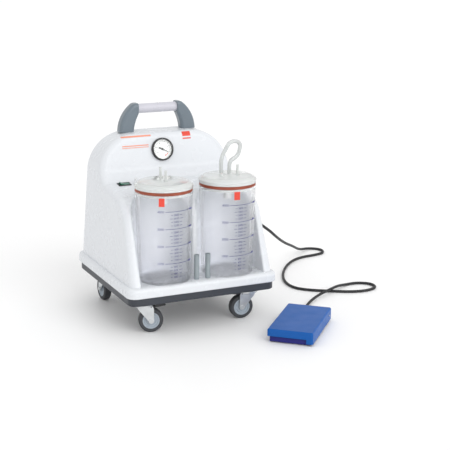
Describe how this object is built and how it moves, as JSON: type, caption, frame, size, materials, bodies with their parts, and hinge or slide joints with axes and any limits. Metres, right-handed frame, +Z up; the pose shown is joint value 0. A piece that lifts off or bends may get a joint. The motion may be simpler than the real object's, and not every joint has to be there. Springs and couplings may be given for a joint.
{
  "type": "suction pump",
  "caption": "Mobile surgical suction pump: white hood with vacuum gauge and rocker switch, graduated collection jars, push handle, braked swivel castors and a foot switch on a lead.",
  "frame": {"origin": "on the floor, midway between the four castors", "axes": "+Z up; the jars face -Y; +X is to the right for someone facing the jars"},
  "size_m": [1.0123, 0.9341, 0.6444],
  "materials": {
    "hood_white": "smooth moulded plastic",
    "chassis_charcoal": "powder-coated sheet steel",
    "handle_blue_grey": "glossy moulded plastic",
    "grip_pale": "satin moulded plastic",
    "cover_grey": "painted sheet steel",
    "screw_steel": "zinc-plated steel",
    "black_plastic": "satin black plastic",
    "fork_chrome": "bright plated steel",
    "tyre_grey": "solid grey rubber",
    "hub_blue_grey": "nylon",
    "jar_clear": "clear polycarbonate",
    "lid_milky": "milky translucent plastic",
    "seal_red": "red-brown silicone rubber",
    "float_white": "white plastic",
    "tube_clear": "translucent silicone tube",
    "post_grey": "grey plastic",
    "gauge_black": "black enamelled steel",
    "dial_white": "white enamel",
    "needle_black": "black enamel",
    "lens_clear": "clear window",
    "rocker_green": "green translucent plastic",
    "rubber_black": "black rubber",
    "motor_grey": "grey enamelled steel",
    "pump_alloy": "cast alloy",
    "steel": "turned steel",
    "pedal_blue": "blue moulded plastic",
    "pedal_violet": "violet-blue moulded plastic",
    "cable_black": "black cable jacket",
    "gland_grey": "grey rubber"
  },
  "bodies": {
    "base": {"hood_shell": "hood_white", "rear_cover": "cover_grey", "cover_screws": "screw_steel", "mains_inlet": "black_plastic", "fuse_drawer": "black_plastic", "chassis_tray": "chassis_charcoal", "castor_plates": "fork_chrome", "castor_bolts": "screw_steel", "handle_grip": "grip_pale", "handle_arm_left": "handle_blue_grey", "handle_arm_right": "handle_blue_grey", "catheter_tube_left": "post_grey", "catheter_tube_right": "post_grey", "gauge_case": "gauge_black", "gauge_dial": "dial_white", "gauge_lens": "lens_clear", "switch_frame": "black_plastic", "vacuum_port": "lid_milky", "rubber_mounts": "rubber_black", "pump_bracket": "cover_grey", "pump_motor": "motor_grey", "pump_cylinder": "pump_alloy", "line_filter": "float_white", "vacuum_hose": "tube_clear", "pedal_base": "pedal_violet", "pedal_pin": "steel", "pedal_spring": "steel", "pedal_switch": "black_plastic", "pedal_feet": "rubber_black", "lead_gland": "gland_grey", "foot_switch_lead": "cable_black"},
    "fork_front_left": {"castor_fork_front_left": "fork_chrome"},
    "wheel_front_left": {"castor_wheel_front_left": "hub_blue_grey", "castor_tyre_front_left": "tyre_grey"},
    "lever_front_left": {"brake_lever_front_left": "black_plastic"},
    "fork_front_right": {"castor_fork_front_right": "fork_chrome"},
    "wheel_front_right": {"castor_wheel_front_right": "hub_blue_grey", "castor_tyre_front_right": "tyre_grey"},
    "lever_front_right": {"brake_lever_front_right": "black_plastic"},
    "fork_back_left": {"castor_fork_back_left": "fork_chrome"},
    "wheel_back_left": {"castor_wheel_back_left": "hub_blue_grey", "castor_tyre_back_left": "tyre_grey"},
    "fork_back_right": {"castor_fork_back_right": "fork_chrome"},
    "wheel_back_right": {"castor_wheel_back_right": "hub_blue_grey", "castor_tyre_back_right": "tyre_grey"},
    "jar_left": {"jar_left": "jar_clear", "jar_seal_left": "seal_red"},
    "lid_left": {"jar_lid_left": "lid_milky"},
    "float_left": {"overflow_float_left": "float_white"},
    "jar_right": {"jar_right": "jar_clear", "jar_seal_right": "seal_red"},
    "lid_right": {"jar_lid_right": "lid_milky", "vent_loop": "tube_clear"},
    "float_right": {"overflow_float_right": "float_white"},
    "needle": {"gauge_needle": "needle_black"},
    "rocker": {"switch_rocker": "rocker_green"},
    "treadle": {"pedal_treadle": "pedal_blue"},
    "rotor": {"motor_shaft": "steel", "cooling_fan": "black_plastic"}
  },
  "joints": [
    {"name": "swivel_front_left", "type": "hinge", "parent": "base", "child": "fork_front_left", "pos_m": [-0.174, -0.164, 0.088], "axis": [0, 0, 1], "continuous": true},
    {"name": "roll_front_left", "type": "hinge", "parent": "fork_front_left", "child": "wheel_front_left", "pos_m": [-0.15268, -0.16943, 0.0375], "axis": [0.247, 0.969, 0], "continuous": true},
    {"name": "brake_front_left", "type": "hinge", "parent": "fork_front_left", "child": "lever_front_left", "pos_m": [-0.15268, -0.16943, 0.0814], "axis": [0.247, 0.969, 0], "range_deg": [0, 6]},
    {"name": "swivel_front_right", "type": "hinge", "parent": "base", "child": "fork_front_right", "pos_m": [0.174, -0.164, 0.088], "axis": [0, 0, 1], "continuous": true},
    {"name": "roll_front_right", "type": "hinge", "parent": "fork_front_right", "child": "wheel_front_right", "pos_m": [0.15212, -0.16166, 0.0375], "axis": [-0.1063, -0.9943, 0], "continuous": true},
    {"name": "brake_front_right", "type": "hinge", "parent": "fork_front_right", "child": "lever_front_right", "pos_m": [0.15212, -0.16166, 0.0814], "axis": [-0.1063, -0.9943, 0], "range_deg": [0, 6]},
    {"name": "swivel_back_left", "type": "hinge", "parent": "base", "child": "fork_back_left", "pos_m": [-0.174, 0.164, 0.088], "axis": [0, 0, 1], "continuous": true},
    {"name": "roll_back_left", "type": "hinge", "parent": "fork_back_left", "child": "wheel_back_left", "pos_m": [-0.17477, 0.18599, 0.0375], "axis": [-0.9994, -0.0349, 0], "continuous": true},
    {"name": "swivel_back_right", "type": "hinge", "parent": "base", "child": "fork_back_right", "pos_m": [0.174, 0.164, 0.088], "axis": [0, 0, 1], "continuous": true},
    {"name": "roll_back_right", "type": "hinge", "parent": "fork_back_right", "child": "wheel_back_right", "pos_m": [0.18433, 0.18342, 0.0375], "axis": [-0.8829, 0.4695, 0], "continuous": true},
    {"name": "lift_jar_left", "type": "slide", "parent": "base", "child": "jar_left", "axis": [0, 0, 1], "range_m": [0, 0.15]},
    {"name": "lift_lid_left", "type": "slide", "parent": "jar_left", "child": "lid_left", "axis": [0, 0, 1], "range_m": [0, 0.12]},
    {"name": "float_rise_left", "type": "slide", "parent": "lid_left", "child": "float_left", "axis": [0, 0, 1], "range_m": [0, 0.008]},
    {"name": "lift_jar_right", "type": "slide", "parent": "base", "child": "jar_right", "axis": [0, 0, 1], "range_m": [0, 0.15]},
    {"name": "lift_lid_right", "type": "slide", "parent": "jar_right", "child": "lid_right", "axis": [0, 0, 1], "range_m": [0, 0.12]},
    {"name": "float_rise_right", "type": "slide", "parent": "lid_right", "child": "float_right", "axis": [0, 0, 1], "range_m": [0, 0.008]},
    {"name": "gauge_needle_turn", "type": "hinge", "parent": "base", "child": "needle", "pos_m": [-0.01, 0.08256, 0.504], "axis": [0, -0.9758, 0.2189], "range_deg": [0, 233], "stiffness_Nm_per_rad": 0.0005},
    {"name": "rocker_tip", "type": "hinge", "parent": "base", "child": "rocker", "pos_m": [-0.16, 0.02413, 0.41444], "axis": [0, -0.9918, -0.1275], "range_deg": [0, 16]},
    {"name": "treadle_press", "type": "hinge", "parent": "base", "child": "treadle", "pos_m": [0.32524, -0.27866, 0.025], "axis": [0.7431, -0.6691, 0], "range_deg": [0, 1.5], "stiffness_Nm_per_rad": 20, "springref_deg": -2.86, "deforming": ["pedal_spring"]},
    {"name": "motor_turn", "type": "hinge", "parent": "base", "child": "rotor", "pos_m": [0, 0.08, 0.18], "axis": [1, 0, 0], "continuous": true}
  ]
}
